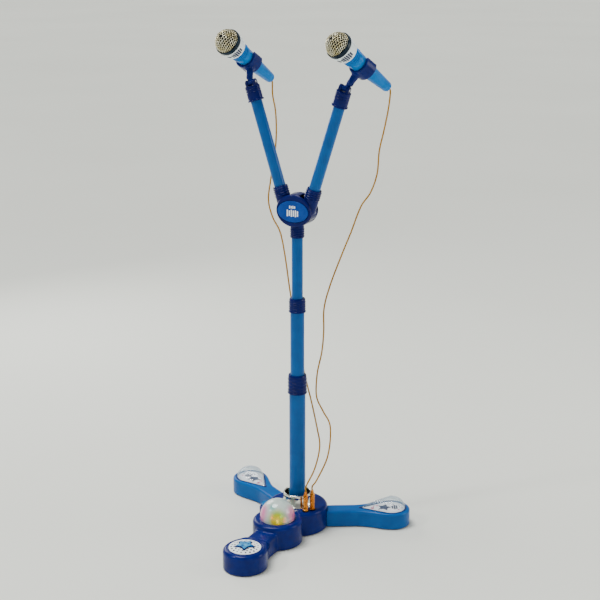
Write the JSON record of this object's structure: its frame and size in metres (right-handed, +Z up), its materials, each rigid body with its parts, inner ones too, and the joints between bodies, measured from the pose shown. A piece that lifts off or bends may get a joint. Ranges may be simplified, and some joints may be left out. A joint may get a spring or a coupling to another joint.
{
  "type": "toy karaoke microphone stand",
  "caption": "Three-footed toy karaoke stand with telescoping pole, Y hub, two swinging arms, clip-held corded microphones, lamp dome and speaker.",
  "frame": {"origin": "on the floor under the pole's axis, at the centre of the hub's rubber pad", "axes": "+Z up along the pole, the front foot towards -Y, +X to the right when seen from the front"},
  "size_m": [0.4134, 0.393, 1.0101],
  "materials": {
    "base_plastic": "glossy deep blue moulded plastic",
    "navy_plastic": "glossy navy moulded plastic",
    "leg_plastic": "glossy mid blue moulded plastic",
    "tube_plastic": "glossy blue extruded tube",
    "handle_plastic": "glossy light blue moulded plastic",
    "clip_plastic": "satin navy moulded plastic",
    "button_plastic": "glossy light blue moulded plastic",
    "rim_plastic": "glossy dark teal plastic",
    "white_plastic": "glossy white plastic",
    "black_plastic": "black moulded plastic",
    "foot_rubber": "soft black rubber",
    "screw_steel": "zinc plated steel",
    "pin_steel": "turned steel",
    "contact_steel": "nickel plated spring steel",
    "battery_case": "printed battery jacket",
    "board": "green solder mask",
    "lamp_resin": "clear lamp resin",
    "clear_dome": "clear iridescent plastic",
    "clear_window": "clear plastic",
    "printed_card": "printed card",
    "star_print": "printed blue plastic",
    "badge_print": "printed blue plastic",
    "ring_chrome": "bright plating",
    "grille_wire": "woven wire mesh",
    "plug_gold": "gold coloured ribbed grip",
    "cord_vinyl": "gold coloured vinyl sheath"
  },
  "bodies": {
    "base": {"base_shell_top": "base_plastic", "base_shell_bottom": "navy_plastic", "battery_door": "navy_plastic", "rubber_feet": "foot_rubber", "base_screws": "screw_steel", "batteries": "battery_case", "battery_contacts": "contact_steel", "main_board": "board", "jack_sockets": "black_plastic", "aux_socket": "black_plastic", "light_board": "board", "lamps": "lamp_resin", "light_dome": "clear_dome", "speaker_driver": "black_plastic", "speaker_grille": "white_plastic", "star_badge": "star_print", "collar_ring": "ring_chrome", "ring_sleeve": "black_plastic", "lower_pole": "tube_plastic", "lower_lock": "navy_plastic", "leg_left_shell": "leg_plastic", "leg_right_shell": "leg_plastic", "leg_floors": "navy_plastic", "leg_cards": "printed_card", "leg_left_window": "clear_window", "leg_right_window": "clear_window", "cord_left": "cord_vinyl", "cord_right": "cord_vinyl"},
    "power_button": {"power_button": "button_plastic"},
    "plug_left": {"plug_left": "plug_gold"},
    "plug_right": {"plug_right": "plug_gold"},
    "middle_stage": {"middle_pole": "tube_plastic", "middle_lock": "navy_plastic"},
    "upper_stage": {"upper_pole": "tube_plastic", "hub_socket": "navy_plastic", "hub_front_shell": "navy_plastic", "hub_rear_shell": "navy_plastic", "hub_badge": "badge_print", "hub_screws": "screw_steel", "arm_pins": "pin_steel"},
    "arm_left": {"arm_left_socket": "navy_plastic", "arm_left_tube": "tube_plastic", "arm_left_collar": "navy_plastic", "clip_pin_left": "pin_steel"},
    "clip_left": {"clip_left": "clip_plastic"},
    "mic_left": {"mic_left_handle": "handle_plastic", "mic_left_band": "white_plastic", "mic_left_rim": "rim_plastic", "mic_left_mesh": "grille_wire", "mic_left_capsule": "black_plastic"},
    "arm_right": {"arm_right_socket": "navy_plastic", "arm_right_tube": "tube_plastic", "arm_right_collar": "navy_plastic", "clip_pin_right": "pin_steel"},
    "clip_right": {"clip_right": "clip_plastic"},
    "mic_right": {"mic_right_handle": "handle_plastic", "mic_right_band": "white_plastic", "mic_right_rim": "rim_plastic", "mic_right_mesh": "grille_wire", "mic_right_capsule": "black_plastic"}
  },
  "joints": [
    {"name": "power_button_press", "type": "slide", "parent": "base", "child": "power_button", "axis": [0, 0, -1], "range_m": [0, 0.002], "stiffness_N_per_m": 300, "springref_m": -0.001},
    {"name": "plug_left_pull", "type": "slide", "parent": "base", "child": "plug_left", "axis": [0, 0, 1], "range_m": [0, 0.03]},
    {"name": "plug_right_pull", "type": "slide", "parent": "base", "child": "plug_right", "axis": [0, 0, 1], "range_m": [0, 0.03]},
    {"name": "lower_telescope", "type": "slide", "parent": "base", "child": "middle_stage", "axis": [0, 0, 1], "range_m": [-0.08, 0]},
    {"name": "upper_telescope", "type": "slide", "parent": "middle_stage", "child": "upper_stage", "axis": [0, 0, 1], "range_m": [-0.08, 0]},
    {"name": "arm_left_swing", "type": "hinge", "parent": "upper_stage", "child": "arm_left", "pos_m": [-0.022, 0, 0.66], "axis": [0, -1, 0], "range_deg": [-13, 49], "deforming": ["cord_left"]},
    {"name": "arm_right_swing", "type": "hinge", "parent": "upper_stage", "child": "arm_right", "pos_m": [0.022, 0, 0.66], "axis": [0, 1, 0], "range_deg": [-13, 49], "deforming": ["cord_right"]},
    {"name": "clip_left_tilt", "type": "hinge", "parent": "arm_left", "child": "clip_left", "pos_m": [-0.10014, 0, 0.90483], "axis": [-0.9527, 0, -0.304], "range_deg": [-20, 20]},
    {"name": "clip_right_tilt", "type": "hinge", "parent": "arm_right", "child": "clip_right", "pos_m": [0.10014, 0, 0.90483], "axis": [-0.9527, 0, 0.304], "range_deg": [-20, 20]},
    {"name": "mic_left_lift_out", "type": "slide", "parent": "clip_left", "child": "mic_left", "axis": [-0.1193, -0.8488, 0.515], "range_m": [0, 0.1]},
    {"name": "mic_right_lift_out", "type": "slide", "parent": "clip_right", "child": "mic_right", "axis": [-0.2849, -0.7827, 0.5534], "range_m": [0, 0.1]}
  ]
}
